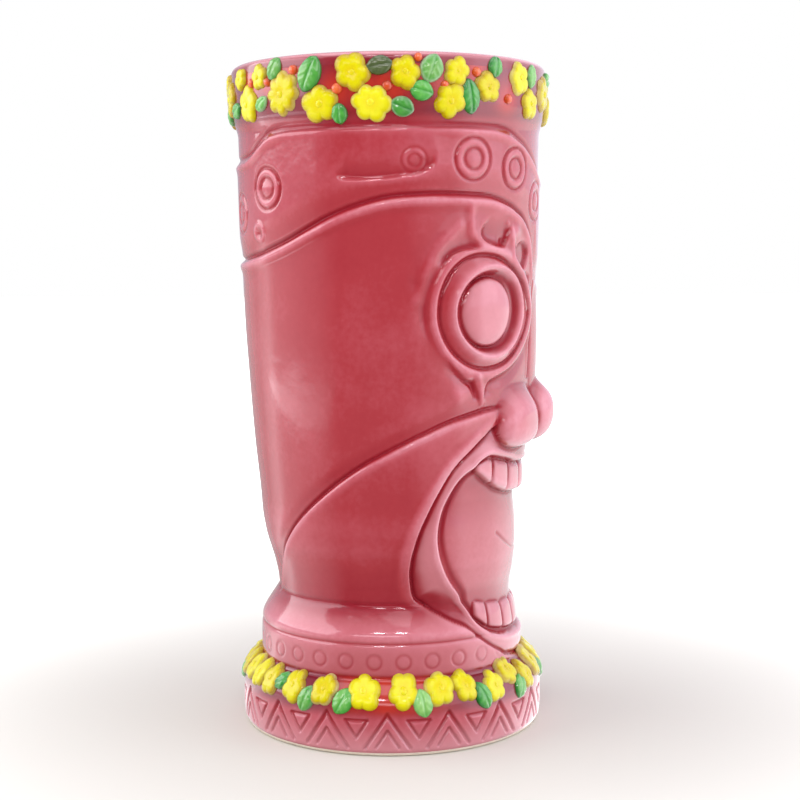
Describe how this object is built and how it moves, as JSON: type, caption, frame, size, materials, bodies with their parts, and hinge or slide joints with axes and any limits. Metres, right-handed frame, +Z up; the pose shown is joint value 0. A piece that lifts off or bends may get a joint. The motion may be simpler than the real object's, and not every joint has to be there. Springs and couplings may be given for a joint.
{
  "type": "tiki mug",
  "caption": "Tall glazed drinking mug carved as a face with open mouth and headband, on a narrow waist and round plinth, with flower garlands at rim and base.",
  "frame": {"origin": "centre of the foot ring, on the table the mug stands on", "axes": "+Z up through the mouth of the mug; the carved face looks along -Y; +X is the face's own left"},
  "size_m": [0.0822, 0.0828, 0.165],
  "materials": {
    "rose_glaze": "gloss",
    "yellow_glaze": "gloss",
    "green_glaze": "gloss",
    "orange_glaze": "gloss",
    "bare_clay": "matt"
  },
  "bodies": {
    "root": {"vessel": "rose_glaze", "foot_ring": "bare_clay", "plinth": "rose_glaze", "collar": "rose_glaze", "shoulder": "rose_glaze", "rim_band": "rose_glaze", "lip": "rose_glaze", "headband": "rose_glaze", "headband_medallions": "rose_glaze", "left_eye": "rose_glaze", "right_eye": "rose_glaze", "left_eye_ring": "rose_glaze", "right_eye_ring": "rose_glaze", "left_eyelid": "rose_glaze", "right_eyelid": "rose_glaze", "left_brow": "rose_glaze", "right_brow": "rose_glaze", "left_cheek": "rose_glaze", "right_cheek": "rose_glaze", "nose": "rose_glaze", "upper_teeth": "rose_glaze", "lower_teeth": "rose_glaze", "lips": "rose_glaze", "tongue": "rose_glaze", "rim_flowers": "yellow_glaze", "rim_centres": "yellow_glaze", "rim_leaves": "green_glaze", "rim_buds": "orange_glaze", "base_flowers": "yellow_glaze", "base_centres": "yellow_glaze", "base_leaves": "green_glaze", "collar_beads": "rose_glaze"}
  },
  "joints": []
}
